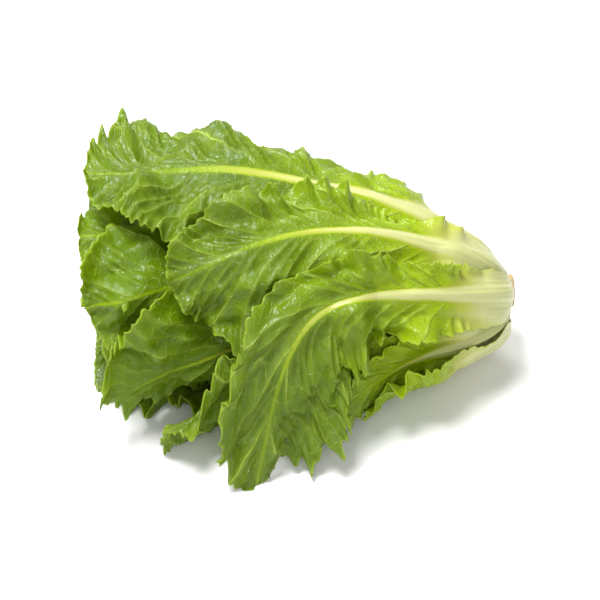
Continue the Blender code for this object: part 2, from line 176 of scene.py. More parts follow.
class Layer(Enum):
    """Where a leaf grows: its slot, the rows and columns of its fine grid, and how green it is."""

    OUTER = ("outer_green", 250, 84, 1.0)
    MIDDLE = ("middle_green", 160, 56, 0.85)
    INNER = ("middle_green", 76, 44, 0.45)
    HEART = ("heart_yellow", 50, 30, 0.15)

    @property
    def slot(self) -> str:
        """The record's material slot."""
        return self.value[0]

    @property
    def rows(self) -> int:
        """Rows of the fine grid, from foot to tip."""
        return self.value[1]

    @property
    def columns(self) -> int:
        """Columns of the fine grid, from edge to edge."""
        return self.value[2]

    @property
    def green(self) -> float:
        """1 for a fully green leaf and 0 for a yellow one."""
        return self.value[3]


@dataclass(frozen=True)
class Leaf:
    """One leaf. Lengths in metres and angles in degrees; a direction of 0 is up and 90 is the front, -Y."""

    name: str
    direction: float
    length: float
    half_width: float
    swing: float
    swing_start: float
    swing_span: float
    splay: float
    widest: float
    waist: float
    lean: float
    curl_back: float
    curl_fore: float
    ruffle: float
    covered: float
    seed: int

    @property
    def layer(self) -> Layer:
        """Where it grows, from its name."""
        return Layer[self.name.split("_")[0].upper()]


# From the outermost inwards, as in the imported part's own source
LEAVES = (
    Leaf("outer_leaf_01", 50, 0.264, 0.040, 77, 0.42, 0.50, 20, 0.80, 1.7, 0.20, 0.15, 0.00, 0.0070, 1.0, 11),
    Leaf("outer_leaf_04", 122, 0.128, 0.036, -4, 0.25, 0.50, 0, 0.66, 1.0, -0.10, 0.00, 0.00, 0.0045, 1.0, 14),
    Leaf("outer_leaf_08", 93, 0.158, 0.026, 22, 0.40, 0.40, 24, 0.78, 1.2, 0.0, 0.00, 0.00, 0.0045, 0.9, 18),
    Leaf("outer_leaf_09", 106, 0.258, 0.050, 8, 0.40, 0.50, 14, 0.76, 1.1, 0.0, 0.00, 0.00, 0.0060, 0.6, 27),
    Leaf("outer_leaf_02", 16, 0.250, 0.050, 20, 0.32, 0.50, 2, 0.74, 1.3, 0.30, 0.12, 0.00, 0.0070, 1.0, 12),
    Leaf("outer_leaf_03", -20, 0.304, 0.068, 5, 0.40, 0.50, 3, 0.54, 0.6, 0.00, 0.52, 0.10, 0.0080, 1.0, 13),
    Leaf("outer_leaf_05", 174, 0.302, 0.070, 0, 0.30, 0.50, 0, 0.74, 1.0, 0.0, 0.00, 0.00, 0.0035, 1.0, 15),
    Leaf("outer_leaf_06", -78, 0.280, 0.058, -8, 0.30, 0.50, -6, 0.74, 1.0, 0.0, 0.05, 0.22, 0.0070, 1.0, 16),
    Leaf("outer_leaf_07", -129, 0.280, 0.058, 2, 0.30, 0.50, 2, 0.74, 1.0, 0.0, 0.00, 0.05, 0.0045, 1.0, 17),
    Leaf("middle_leaf_01", 82, 0.276, 0.054, 16, 0.40, 0.50, 16, 0.76, 1.1, 0.0, 0.05, 0.00, 0.0075, 0.2, 21),
    Leaf("middle_leaf_02", -46, 0.288, 0.056, -6, 0.40, 0.50, 4, 0.76, 1.1, 0.0, 0.00, 0.00, 0.0070, 0.2, 22),
    Leaf("middle_leaf_03", 36, 0.280, 0.054, 14, 0.40, 0.50, 6, 0.76, 1.1, 0.0, 0.05, 0.00, 0.0075, 0.2, 23),
    Leaf("middle_leaf_04", -102, 0.278, 0.054, -4, 0.40, 0.50, 4, 0.76, 1.1, 0.0, 0.00, 0.00, 0.0055, 0.2, 24),
    Leaf("middle_leaf_05", 2, 0.282, 0.052, 6, 0.40, 0.50, 4, 0.76, 1.1, 0.0, 0.00, 0.00, 0.0070, 0.2, 25),
    Leaf("middle_leaf_06", 158, 0.270, 0.048, 0, 0.40, 0.50, 0, 0.76, 1.1, 0.0, 0.00, 0.00, 0.0035, 0.2, 26),
    Leaf("inner_leaf_01", 66, 0.260, 0.044, 8, 0.40, 0.50, 6, 0.76, 1.1, 0.0, 0.00, 0.00, 0.0060, 0.1, 31),
    Leaf("inner_leaf_02", -28, 0.260, 0.044, -6, 0.40, 0.50, 4, 0.76, 1.1, 0.0, 0.00, 0.00, 0.0060, 0.1, 32),
    Leaf("inner_leaf_03", -110, 0.253, 0.042, 0, 0.40, 0.50, 4, 0.76, 1.1, 0.0, 0.00, 0.00, 0.0040, 0.1, 33),
    Leaf("inner_leaf_04", 150, 0.250, 0.040, 0, 0.40, 0.50, 0, 0.76, 1.1, 0.0, 0.00, 0.00, 0.0035, 0.1, 34),
    Leaf("heart_leaf_01", 20, 0.230, 0.032, 0, 0.40, 0.50, 2, 0.76, 1.1, 0.0, 0.00, 0.00, 0.0040, 0.1, 41),
    Leaf("heart_leaf_02", 200, 0.215, 0.028, 0, 0.40, 0.50, 0, 0.76, 1.1, 0.0, 0.00, 0.00, 0.0030, 0.1, 42),
    Leaf("heart_leaf_03", -70, 0.190, 0.022, 0, 0.40, 0.50, 0, 0.76, 1.1, 0.0, 0.00, 0.00, 0.0030, 0.1, 43),
)
WIDE_LEAF = 0.068  # half-width of the big top leaf, which the others' ribs and veins are scaled by


@dataclass(frozen=True)
class LeafBuild:
    """What all leaves share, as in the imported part's own source."""

    gap: float = 0.0004
    blade: float = 0.0008
    foot_share: float = 0.16
    stalk_share: float = 0.50
    stalk_start: float = 0.10
    tip_row: float = 0.975
    rib_half_width: float = 0.0105
    rib_least: float = 0.0035
    rib_height: float = 0.0060
    turn_length: float = 0.066
    outer_turn: float = 80.0
    inner_turn: float = 8.0
    foot_start: float = 0.0030
    foot_step: float = 0.0012
    foot_growth: float = 0.00004
    splay_start: float = 0.42
    splay_span: float = 0.45
    wave: float = 0.070
    tooth: float = 0.07
    tooth_start: float = 0.0004
    tooth_place: float = 0.62
    rows: int = 19
    heart_rows: int = 12
    column_share: float = 0.60
    thick_ribs: int = 8


class LeafSheet:
    """The inner face of one leaf. v runs from foot to tip along the margin, and t from -1 to 1 across it."""

    def __init__(self, leaf: Leaf, rank: int, head: HeadShape, build: LeafBuild) -> None:
        """Works out the leaf's lines.

        Args:
            leaf: its sizes.
            rank: 0 for the outermost leaf.
            head: the head that it follows.
            build: what all leaves share.
        """
        self.leaf, self.head, self.build = leaf, head, build
        self.size = leaf.half_width / WIDE_LEAF
        thick = rank < build.thick_ribs
        self.rib_scale = min(1.0, 0.35 + 0.65 * self.size) if thick else 0.15 + 0.35 * self.size
        self.under = smooth(abs(leaf.direction), 100.0, 45.0)
        self.draw_profile(rank)
        self.draw_spine()
        self.draw_outline()
        self.phases = np.random.default_rng(leaf.seed).uniform(0.0, FULL_TURN, (2, 3))
        self.rows = build.heart_rows if leaf.layer is Layer.HEART else build.rows
        self.v, self.t = self.grid()
        self.push = np.zeros(self.v.shape)

    def draw_profile(self, rank: int) -> None:
        """The round surface it follows: its slope from the axis is turn * exp(-run / turn_length)."""
        build = self.build
        inwards = rank / (len(LEAVES) - 1)
        turn = math.radians(build.outer_turn + (build.inner_turn - build.outer_turn) * inwards**0.85)
        foot = build.foot_start + build.foot_step * rank + build.foot_growth * rank**2
        self.run = np.linspace(0.0, 0.42, 421)
        self.slope = turn * np.exp(-self.run / build.turn_length)
        self.along = foot + running_sum(np.cos(self.slope), self.run[1])
        self.radius = self.head.stem_radius(foot) + build.gap + running_sum(np.sin(self.slope), self.run[1])

    def draw_spine(self) -> None:
        """The midrib's line: its run along the head, its turn round it, and how far it stands off it."""
        leaf, build = self.leaf, self.build
        step = leaf.length / 240.0
        self.arc = np.arange(265) * step
        share = self.arc / leaf.length
        self.heading = math.radians(leaf.swing) * smooth(share, leaf.swing_start, leaf.swing_span)
        lift = math.radians(leaf.splay) * smooth(share, build.splay_start, build.splay_span)
        self.spine_run = running_sum(np.cos(lift) * np.cos(self.heading), step)
        self.spine_off = running_sum(np.sin(lift), step)
        near = np.interp(self.spine_run, self.run, self.radius) + self.spine_off
        round_step = np.cos(lift) * np.sin(self.heading) / near
        self.spine_angle = math.radians(leaf.direction) + running_sum(round_step, step)

    def draw_outline(self) -> None:
        """The margin: a broad stalk, a rise to the widest place and an ellipse that closes the tip."""
        leaf, build = self.leaf, self.build
        share = np.linspace(0.0, 1.0, 401)
        stalk = build.foot_share + (build.stalk_share - build.foot_share) * smooth(share / build.stalk_start)
        rise = smooth(share, build.stalk_start, leaf.widest - build.stalk_start) ** leaf.waist
        closing = np.sqrt(np.clip(1.0 - ((share - leaf.widest) / (1.0 - leaf.widest)) ** 2, 0.0, 1.0))
        opening = stalk + (1.0 - stalk) * rise
        self.edge_width = leaf.half_width * np.where(share < leaf.widest, opening, closing)
        self.edge_along = leaf.length * share
        steps = np.hypot(np.diff(self.edge_width), np.diff(self.edge_along))
        self.margin = np.concatenate([[0.0], np.cumsum(steps)])

    def half_width(self, v: np.ndarray) -> np.ndarray:
        """Distance from midrib to margin."""
        return np.interp(v * self.margin[-1], self.margin, self.edge_width)

    def flat_place(self, v: np.ndarray, t: np.ndarray) -> tuple[np.ndarray, np.ndarray]:
        """Place on the leaf laid flat: across from the midrib, and along it. Rows bend forward as |t|^1.5."""
        reach = np.interp(v * self.margin[-1], self.margin, self.edge_along)
        middle = v * self.leaf.length
        across = t * self.half_width(v) * (1.0 + self.leaf.lean * np.sign(t))
        return across, middle + np.abs(t) ** 1.5 * (reach - middle)

    def rib_width(self, v: np.ndarray) -> np.ndarray:
        """Half-width of the midrib."""
        return self.build.rib_half_width * self.rib_scale * (1.0 - 0.88 * v)

    def grid(self) -> tuple[np.ndarray, np.ndarray]:
        """v and t of the coarse corners: seven columns, denser rows where the leaf broadens."""
        low = np.linspace(0.0, 0.30, self.rows // 3, endpoint=False)
        v_rows = np.concatenate([low, np.linspace(0.30, self.build.tip_row, self.rows - len(low))])
        rib = np.maximum(1.3 * self.rib_width(v_rows), self.build.rib_least) / self.half_width(v_rows)
        rib = np.minimum(rib, 0.42)
        even = np.ones(self.rows)
        inset = self.build.column_share * even
        columns = [-even, -inset, -rib, 0.0 * even, rib, inset, even]
        return np.repeat(v_rows[:, None], len(columns), axis=1), np.stack(columns, axis=1)

    def shown(self, v: np.ndarray) -> np.ndarray:
        """Share of the waves that is left where other leaves cover it."""
        return self.leaf.covered + (1.0 - self.leaf.covered) * smooth(v, 0.55, 0.25)

    def rise(self, v: np.ndarray, t: np.ndarray) -> np.ndarray:
        """How far it stands off the round surface: ruffle |t|^1.7 waves(run) + curl |t|^2.2."""
        leaf = self.leaf
        run = v * self.margin[-1] / self.build.wave * FULL_TURN
        side = (t > 0).astype(int)
        first, second, third = (self.phases[side, k] for k in range(3))
        main = np.sin(run + first + 0.7 * np.sin(0.37 * run + second))
        slow = np.sin(0.43 * run + third)
        grown = smooth(v, 0.10, 0.30) * self.shown(v) * (0.4 + 0.6 * smooth(1.0 - v, 0.0, 0.12))
        waves = leaf.ruffle * grown * np.abs(t) ** 1.7 * (main + 0.35 * slow)
        share = np.where(t > 0, leaf.curl_fore, leaf.curl_back) * smooth(v, 0.12, 0.25)
        return waves + share * self.half_width(v) * np.abs(t) ** 2.2

    def polar(self, place: tuple, rise: np.ndarray, push: np.ndarray) -> tuple:
        """Distance along the head's axis, angle round it and radius.

        Args:
            place: across and along on the flat leaf.
            rise: how far it stands off the round surface, square to it.
            push: how far it is moved out to clear the leaves inside it.

        Returns:
            along, angle and radius.
        """
        across, arc = place
        heading = np.interp(arc, self.arc, self.heading)
        run = np.interp(arc, self.arc, self.spine_run) - across * np.sin(heading)
        radius = np.interp(run, self.run, self.radius) + np.interp(arc, self.arc, self.spine_off)
        slope = np.interp(run, self.run, self.slope)
        angle = np.interp(arc, self.arc, self.spine_angle) + across * np.cos(heading) / (radius + push)
        along = np.interp(run, self.run, self.along) - rise * np.sin(slope)
        return along, angle, radius + rise * np.cos(slope) + push

    def faces_of(self, place: tuple, rise: np.ndarray, push: np.ndarray) -> tuple:
        """World points of the inner face, and unit vectors that point outwards from it."""
        inner = self.head.settled(*self.polar(place, rise, push))
        outwards = self.head.settled(*self.polar(place, rise, push + 0.001)) - inner
        normal = np.cross(np.gradient(inner, axis=1), np.gradient(inner, axis=0))
        normal /= np.maximum(np.linalg.norm(normal, axis=-1, keepdims=True), 1e-12)
        return inner, normal, outwards

    def rib(self, v: np.ndarray, across: np.ndarray) -> np.ndarray:
        """Height of the midrib out of the outer face: swell(v) exp(-1.2 (across / rib width)^2)."""
        swell = (0.45 + 0.55 * smooth(v / 0.10)) * (1.0 - smooth(v / 0.95)) ** 1.3
        swell = swell * (1.0 - 0.7 * self.under * smooth(v, 0.05, 0.3))
        shape = np.exp(-1.2 * (across / self.rib_width(v)) ** 2)
        return self.build.rib_height * self.rib_scale * swell * shape

    def between_rows(self, values: np.ndarray) -> np.ndarray:
        """Values where the coarse teeth stand, between those of one row and the next."""
        return values[:-1] + self.build.tooth_place * (values[1:] - values[:-1])

    def corners(self) -> tuple[np.ndarray, np.ndarray]:
        """World points of the solid's two faces: the grid's, then a tooth between rows on each side."""
        v, t = self.v, self.t
        place = self.flat_place(v, t)
        inner, normal, outwards = self.faces_of(place, self.rise(v, t), self.push)
        normal = normal * np.sign(np.sum(normal * outwards, axis=-1, keepdims=True))
        outer = inner + normal * (self.build.blade + self.rib(v, place[0]))[..., None]
        near, far = [inner.reshape(-1, 3)], [outer.reshape(-1, 3)]
        v = self.between_rows(v[:, 0])
        reach = (self.build.tooth_start + self.build.tooth * smooth(v / 0.3) * self.half_width(v))[:, None]
        for edge, beside in ((0, 1), (-1, -2)):
            sideways = self.between_rows(inner[:, edge] - inner[:, beside])
            sideways *= reach / np.linalg.norm(sideways, axis=-1, keepdims=True)
            near.append(self.between_rows(inner[:, edge]) + sideways)
            far.append(self.between_rows(outer[:, edge]) + sideways)
        return np.concatenate(near), np.concatenate(far)

    def triangles(self) -> list[tuple[int, int, int]]:
        """Triangles of the solid's inner face."""
        rows, width = self.v.shape
        left = rows * width
        right = left + rows - 1
        faces = []
        for i in range(rows - 1):
            first, after = i * width, (i + 1) * width
            for j in range(width - 1):
                a, b, c, d = first + j, first + j + 1, after + j + 1, after + j
                faces += [(a, b, c), (a, c, d)] if (i + j) % 2 else [(a, b, d), (b, c, d)]
            faces.append((first, after, left + i))
            faces.append((first + width - 1, right + i, after + width - 1))
        return faces

    def push_at(self, v: np.ndarray, t: np.ndarray) -> np.ndarray:
        """The coarse corners' push on a fine grid, by linear interpolation in t, then in v."""
        even = np.linspace(-1.0, 1.0, 81)
        rows = np.stack([np.interp(even, here, push) for here, push in zip(self.t, self.push)])
        rows = np.stack([np.interp(v[:, 0], self.v[:, 0], column) for column in rows.T], axis=1)
        place = (t + 1.0) * 40.0
        low = np.clip(place.astype(int), 0, 79)
        row = np.arange(len(v))[:, None]
        part = place - low
        return rows[row, low] * (1.0 - part) + rows[row, low + 1] * part


@dataclass
class CoarseLaying:
    """Lays the leaves' solids over one another from the heart outwards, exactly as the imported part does."""

    head: HeadShape
    clearance: float = 0.0012
    rounds: int = 8
    far: float = 0.5
    sides: int = 20

    def stem(self) -> tuple[np.ndarray, list[tuple[int, int, int]]]:
        """Points and triangles of the stem's solid: a turned cone with a slightly rounded cut end."""
        head, sides = self.head, self.sides
        base = head.stem_base
        profile = ((0.0, base - 0.0015), (0.0012, base - 0.0003), (head.stem_length, head.stem_tip))
        turn = np.arange(sides) * FULL_TURN / sides
        even = np.ones(sides)
        rings = [head.settled(along * even, turn, radius * even) for along, radius in profile]
        ends = head.settled(np.array([0.0, head.stem_length]), np.zeros(2), np.zeros(2))
        points = np.concatenate([*rings, ends])
        start, end = len(points) - 2, len(points) - 1
        last = (len(profile) - 1) * sides
        faces = []
        for k in range(sides):
            n = (k + 1) % sides
            faces += [(start, k, n), (end, last + n, last + k)]
            for low in range(0, last, sides):
                high = low + sides
                faces += [(low + k, high + k, high + n), (low + k, high + n, low + n)]
        return points, faces

    def need(self, sheet: LeafSheet, faces: list, laid: BVHTree) -> np.ndarray:
        """How far each coarse corner has to move out for the leaf to clear what is already laid.

        Args:
            sheet: the leaf.
            faces: its inner face's triangles.
            laid: the leaves inside it, about the head's axis.

        Returns:
            A grid of distances.
        """
        near, _ = sheet.corners()
        corners = np.array(faces)
        shares = np.array([(a, b, 6 - a - b) for a in range(7) for b in range(7 - a)]) / 6.0
        probes = np.einsum("pc,fcx->fpx", shares, self.head.rounded(near)[corners])
        across = np.hypot(probes[..., 1], probes[..., 2])
        clear = self.clearance / self.head.pressed(probes)
        starts = np.stack([probes[..., 0], *(probes[..., k] / across for k in (1, 2))], axis=-1)
        cast, far = laid.ray_cast, self.far
        starts = starts.reshape(-1, 3).tolist()
        hits = [cast((x, y * far, z * far), (0.0, -y, -z), far)[3] for x, y, z in starts]
        found = np.array([math.inf if hit is None else hit for hit in hits]).reshape(across.shape)
        worst = np.maximum((self.far - found + clear - across).max(axis=1), 0.0)
        at_corner = np.zeros(len(near))
        for k in range(3):
            np.maximum.at(at_corner, corners[:, k], worst)
        rows, width = sheet.v.shape
        grid = at_corner[:rows * width].reshape(rows, width)
        for column, start in ((0, rows * width), (width - 1, rows * width + rows - 1)):
            tooth = at_corner[start:start + rows - 1]
            grid[:-1, column] = np.maximum(grid[:-1, column], tooth)
            grid[1:, column] = np.maximum(grid[1:, column], tooth)
        return grid

    def lay(self, build: LeafBuild) -> tuple[list[LeafSheet], np.ndarray, np.ndarray]:
        """Lays every leaf.

        Args:
            build: what all leaves share.

        Returns:
            The sheets, outermost first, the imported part's origin, and its highest corner from there.
        """
        sheets = [LeafSheet(leaf, rank, self.head, build) for rank, leaf in enumerate(LEAVES)]
        stem_points, stem_faces = self.stem()
        points, faces = [self.head.rounded(stem_points)], list(stem_faces)
        count = len(stem_points)
        for sheet in reversed(sheets):
            laid = BVHTree.FromPolygons(np.concatenate(points).tolist(), faces)
            own = sheet.triangles()
            for turn in range(self.rounds):
                need = self.need(sheet, own, laid)
                if need.max() <= 0.0:
                    break
                sheet.push += spread_out(need) if turn < 2 else need
            for face_points in sheet.corners():
                points.append(self.head.rounded(face_points))
                faces += [(a + count, b + count, c + count) for a, b, c in own]
                count += len(face_points)
        everything = np.concatenate([stem_points, *(face for sheet in sheets for face in sheet.corners())])
        low, high = everything.min(axis=0), everything.max(axis=0)
        origin = np.array([(low[0] + high[0]) * 0.5, (low[1] + high[1]) * 0.5, low[2]])
        log.info('origin %s', origin)
        return sheets, origin, high - origin


@dataclass
class LaidSurface:
    """How far out the laid leaves reach: the greatest radius in each cell of distance and angle."""

    head: HeadShape
    step: float = 0.0015
    along_cells: int = 250
    turn_cells: int = 420
    reach: np.ndarray = field(init=False)

    def __post_init__(self) -> None:
        """Starts with nothing laid."""
        self.reach = np.zeros((self.along_cells, self.turn_cells))

    def cell(self, along: np.ndarray, angle: np.ndarray) -> tuple:
        """Lower cell indices and what is left over, for a distance and an angle."""
        i = np.clip(along / self.step, 0.0, self.along_cells - 2.0)
        j = (angle / FULL_TURN % 1.0) * self.turn_cells
        low_i, low_j = i.astype(int), j.astype(int) % self.turn_cells
        return low_i, low_j, i - low_i, j % 1.0

    def add(self, points: np.ndarray) -> None:
        """Adds a face, from its world points."""
        about = self.head.rounded(points.reshape(-1, 3))
        radius = np.hypot(about[:, 1], about[:, 2])
        i, j, _, _ = self.cell(about[:, 0], np.arctan2(-about[:, 1], about[:, 2]))
        for a in (0, 1):
            for b in (0, 1):
                np.maximum.at(self.reach, (i + a, (j + b) % self.turn_cells), radius)

    def read(self, along: np.ndarray, angle: np.ndarray) -> np.ndarray:
        """Radius at a distance and an angle, evened between four cells."""
        i, j, part_i, part_j = self.cell(along, angle)
        beside = (j + 1) % self.turn_cells
        low = self.reach[i, j] * (1.0 - part_j) + self.reach[i, beside] * part_j
        high = self.reach[i + 1, j] * (1.0 - part_j) + self.reach[i + 1, beside] * part_j
        return low * (1.0 - part_i) + high * part_i


@dataclass(frozen=True)
class Frill:
    """One size of wave along the margin: length, height, how it gathers there, and bias outwards."""

    length: float
    height: float
    power: float
    bias: float = 0.0


@dataclass(frozen=True)
class Teeth:
    """One size of tooth along the margin. A power below 1 makes a round lobe."""

    pitch: float
    height: float
    lean: float
    power: float
    follows_size: bool = True


@dataclass(frozen=True)
class FineForms:
    """Sizes of the forms that a finished leaf has and its solid has not.

    A field that ends in _start is how far from the foot a form sets in and the stretch over which it grows.
    """

    frills: tuple[Frill, ...] = (
        Frill(0.036, 0.0078, 2.8, 0.15), Frill(0.0165, 0.0046, 4.6, 0.25), Frill(0.0078, 0.0021, 8.0))
    frill_start: tuple[float, float] = (0.026, 0.055)
    lobes: Teeth = Teeth(0.027, 0.0042, 0.66, 0.75)
    points: Teeth = Teeth(0.0070, 0.0034, 0.72, 1.1)
    nicks: Teeth = Teeth(0.0038, 0.0023, 0.65, 1.1, follows_size=False)
    teeth_start: tuple[float, float] = (0.018, 0.045)
    tip_teeth_less: float = 0.45
    lobe_inset: float = 0.4
    tooth_depth: float = 0.008
    vein_spacing: float = 0.0210
    vein_forward: float = 1.75
    vein_bend: float = 0.33
    vein_height: float = 0.0009
    vein_width: float = 0.0011
    relief_start: tuple[float, float] = (0.055, 0.055)
    blister: float = 0.0021
    fold: float = 0.0026
    fold_width: float = 0.019
    fold_drift: float = 0.055
    swells: tuple[tuple[float, float, int], ...] = (
        (0.045, 0.0030, 5), (0.020, 0.0011, 7), (0.0085, 0.00035, 9))
    rib_clear: float = 0.02
    ridge: float = 0.00020
    ridge_width: float = 0.0041
    edge_thickness: float = 0.00060
    clearance: float = 0.0007
    stalk_push: float = 0.005
    blade_push: float = 0.009
    push_reach: int = 5
    tip: float = 0.9935
    seed_step: int = 500
    samples: int = 600
    usual_length: float = 0.275
    most_rows: float = 1.1


def teeth_along(run: np.ndarray, teeth: Teeth, rate: float, rng: np.random.Generator) -> np.ndarray:
    """A line of teeth or lobes with uneven places and sizes.

    max over the teeth k of height_k * (1 - |run - place_k| / width_k)^power, narrower on the side of the tip.

    Args:
        run: distances along the margin.
        teeth: their mean pitch and height, how much of the width lies on the foot's side, and the power.
        rate: what the pitch is multiplied by.
        rng: the leaf's random numbers.

    Returns:
        The reach of the margin beyond its plain line.
    """
    pitch = teeth.pitch * rate
    count = int(run.max() / pitch) + 2
    place = (np.arange(count) + rng.uniform(-0.30, 0.30, count)) * pitch
    tall = teeth.height * rng.uniform(0.35, 1.20, count)
    off = run[:, None] - place
    width = pitch * np.where(off < 0.0, teeth.lean, 1.15 - teeth.lean)
    return np.max(tall * np.clip(1.0 - np.abs(off) / width, 0.0, 1.0) ** teeth.power, axis=1)


def spaced(count: int, density: np.ndarray, low: float, high: float) -> np.ndarray:
    """Values from low to high, closer together where the density is greater.

    Args:
        count: how many.
        density: the wished density at even steps from low to high.
        low: the first value.
        high: the last value.

    Returns:
        The inverse of the density's running share.
    """
    share = running_sum(density, 1.0)
    return np.interp(np.linspace(0.0, share[-1], count), share, np.linspace(low, high, len(density)))


class DressedLeaf:
    """A finished leaf: the sheet of its solid on a fine grid, with its frills, teeth, veins and blisters."""

    def __init__(self, sheet: LeafSheet, forms: FineForms) -> None:
        """Lays out the fine grid.

        Args:
            sheet: the coarse sheet, already laid.
            forms: sizes of the fine forms.
        """
        self.sheet, self.forms = sheet, forms
        layer = sheet.leaf.layer
        self.rng = np.random.default_rng(sheet.leaf.seed + forms.seed_step)
        v_even = np.linspace(0.0, forms.tip, forms.samples)
        count = int(layer.rows * min(forms.most_rows, sheet.leaf.length / forms.usual_length))
        rows = spaced(count, 0.55 + smooth(v_even, 0.12, 0.2), 0.0, forms.tip)
        t_even = np.linspace(-1.0, 1.0, forms.samples)
        dense = 1.0 + 1.0 * np.exp(-(t_even / 0.13) ** 2) + 1.1 * smooth(np.abs(t_even), 0.68, 0.3)
        columns = spaced(layer.columns, dense, -1.0, 1.0)
        self.v = np.repeat(rows[:, None], layer.columns, axis=1)
        self.from_foot = self.v * sheet.leaf.length
        self.t = np.repeat(columns[None, :], count, axis=0)
        self.run = rows * sheet.margin[-1]
        self.scale = 0.55 + 0.45 * sheet.size
        self.loose = 0.3 if layer is Layer.MIDDLE else 0.0
        self.grown = smooth(self.from_foot, *forms.frill_start) * sheet.shown(self.v) * self.scale
        self.place_flat()
        self.trace_veins()

    def place_flat(self) -> None:
        """Across and along on the flat leaf, with the teeth drawn out of the margin along its own normal."""
        sheet, forms = self.sheet, self.forms
        across, arc = sheet.flat_place(self.v, self.t)
        self.plain_across = across
        width = sheet.half_width(self.v)
        slope_run = np.gradient(sheet.half_width(self.v[:, 0]), self.run)
        outward_x = np.sqrt(np.clip(1.0 - slope_run**2, 0.0, 1.0))[:, None]
        outward_y = -slope_run[:, None]
        depth = np.maximum(forms.tooth_depth, 0.25 * width)
        near = smooth(1.0 - (1.0 - np.abs(self.t)) * width / depth) ** 1.6
        growth = smooth(self.from_foot, *forms.teeth_start) * self.scale
        growth = growth * (1.0 - forms.tip_teeth_less * smooth(self.v, 0.80, 0.15))
        for side in (-1, 1):
            reach = sum(
                teeth_along(self.run, teeth, self.scale if teeth.follows_size else 1.0, self.rng)
                for teeth in (forms.lobes, forms.points, forms.nicks))
            reach = (reach - forms.lobe_inset * forms.lobes.height)[:, None]
            reach = reach * growth * near * (np.sign(self.t) == side)
            across = across + side * reach * outward_x
            arc = arc + reach * outward_y
        self.across, self.along = across, np.clip(arc, 0.0, sheet.arc[-1])

    def trace_veins(self) -> None:
        """Side veins leave the midrib at s = along - forward |across| (1 - bend |across| / half width)."""
        sheet, forms = self.sheet, self.forms
        side = np.where(self.t > 0, 0.0, 0.5)
        distance = np.abs(self.plain_across)
        bend = 1.0 - forms.vein_bend * distance / sheet.leaf.half_width
        start = self.along - forms.vein_forward * distance * bend
        spacing = forms.vein_spacing * (0.6 + 0.4 * sheet.size)
        phase = start / spacing * (1.0 + 0.35 * start / sheet.leaf.length) + side
        jitter = self.rng.uniform(0.0, FULL_TURN, 3)
        sway = 0.30 * np.sin(1.9 * phase + jitter[0])
        self.vein = phase + sway + 0.16 * np.sin(110.0 * distance + 2.3 * phase + jitter[1])
        cell = np.floor(self.vein)
        shift = 3.7 * np.sin(cell * 12.9898 + side * 7.1 + jitter[2])
        self.cross = distance / (0.62 * spacing) + 0.25 * self.vein + shift

    def waves(self) -> np.ndarray:
        """Frills: the sum over sizes k of height_k |t|^power_k (sin(2 pi run / length_k + drift) + bias)."""
        total = np.zeros(self.v.shape)
        run = self.v * self.sheet.margin[-1]
        for frill in self.forms.frills:
            for side in (-1, 1):
                a, b, c, d = self.rng.uniform(0.0, FULL_TURN, 4)
                length = frill.length * (0.75 + 0.25 * self.scale)
                drift = a + 2.0 * np.sin(FULL_TURN * run / (2.9 * length) + b)
                drift = drift + 0.9 * np.sin(FULL_TURN * run / (1.7 * length) + d)
                uneven = 0.70 + 0.60 * np.sin(FULL_TURN * run / (4.3 * length) + c)
                twist = 0.8 * np.abs(self.t) * math.sin(d)
                wave = np.sin(FULL_TURN * run / length + drift + twist) + frill.bias
                gathered = np.abs(self.t) ** frill.power
                total += frill.height * uneven * gathered * wave * (np.sign(self.t) == side)
        tip = 0.35 + 0.65 * smooth(1.0 - self.v, 0.0, 0.10)
        loose = 1.0 + self.loose * smooth(self.v, 0.60, 0.25)
        return total * self.grown * tip * loose

    def folds(self) -> np.ndarray:
        """Long soft folds that fan out from the stalk: fold * sin(2 pi across / width + drift(along))."""
        a, b = self.rng.uniform(0.0, FULL_TURN, 3)[:2]
        width = self.forms.fold_width * (0.6 + 0.4 * self.sheet.size)
        drift = 2.2 * np.sin(self.along / self.forms.fold_drift + b) + a
        side = np.abs(self.t) * (1.0 - smooth(np.abs(self.t), 0.75, 0.25) * 0.6)
        return self.forms.fold * side * np.sin(FULL_TURN * self.plain_across / width + drift) * self.grown

    def crumples(self) -> np.ndarray:
        """Uneven swells of the blade: a sum of sine waves in random directions, large and small."""
        total = np.zeros(self.v.shape)
        for length, height, count in self.forms.swells:
            for turn, drift, rate in self.rng.uniform(0.0, 1.0, (count, 3)):
                wave = FULL_TURN / (length * (0.75 + 0.5 * rate))
                way = self.plain_across * math.cos(turn * math.pi) + self.along * math.sin(turn * math.pi)
                total += height * math.sqrt(2.0 / count) * np.sin(wave * way + drift * FULL_TURN)
        away = smooth(np.abs(self.plain_across), 0.0, self.forms.rib_clear)
        return total * self.grown * away * (0.4 + 0.6 * smooth(self.v, 0.25, 0.3))

    def relief(self) -> np.ndarray:
        """Height of veins, blisters and stalk ridges out of the outer face, added to both faces."""
        sheet, forms = self.sheet, self.forms
        away = smooth(np.abs(self.plain_across), 0.8 * sheet.rib_width(self.v), 0.006)
        blade = smooth(self.from_foot, *forms.relief_start) * away * self.grown
        inset = 1.0 - 0.75 * smooth(np.abs(self.t), 0.80, 0.2)
        between = np.abs(np.sin(math.pi * self.vein)) ** 0.7
        cell = between * (0.45 + 0.55 * np.abs(np.sin(math.pi * self.cross)) ** 0.7)
        spacing = forms.vein_spacing * (0.6 + 0.4 * sheet.size)
        off = (self.vein + 0.5) % 1.0 - 0.5
        line = np.exp(-((off * spacing / forms.vein_width) ** 2))
        stalk = np.exp(-((self.plain_across / (1.35 * sheet.rib_width(self.v))) ** 2))
        stalk = stalk * smooth(1.25 - 1.9 * self.v)
        ridges = np.cos(FULL_TURN * self.plain_across / forms.ridge_width)
        raised = (forms.vein_height * line - forms.blister * cell) * blade * inset
        return raised + forms.ridge * ridges * stalk

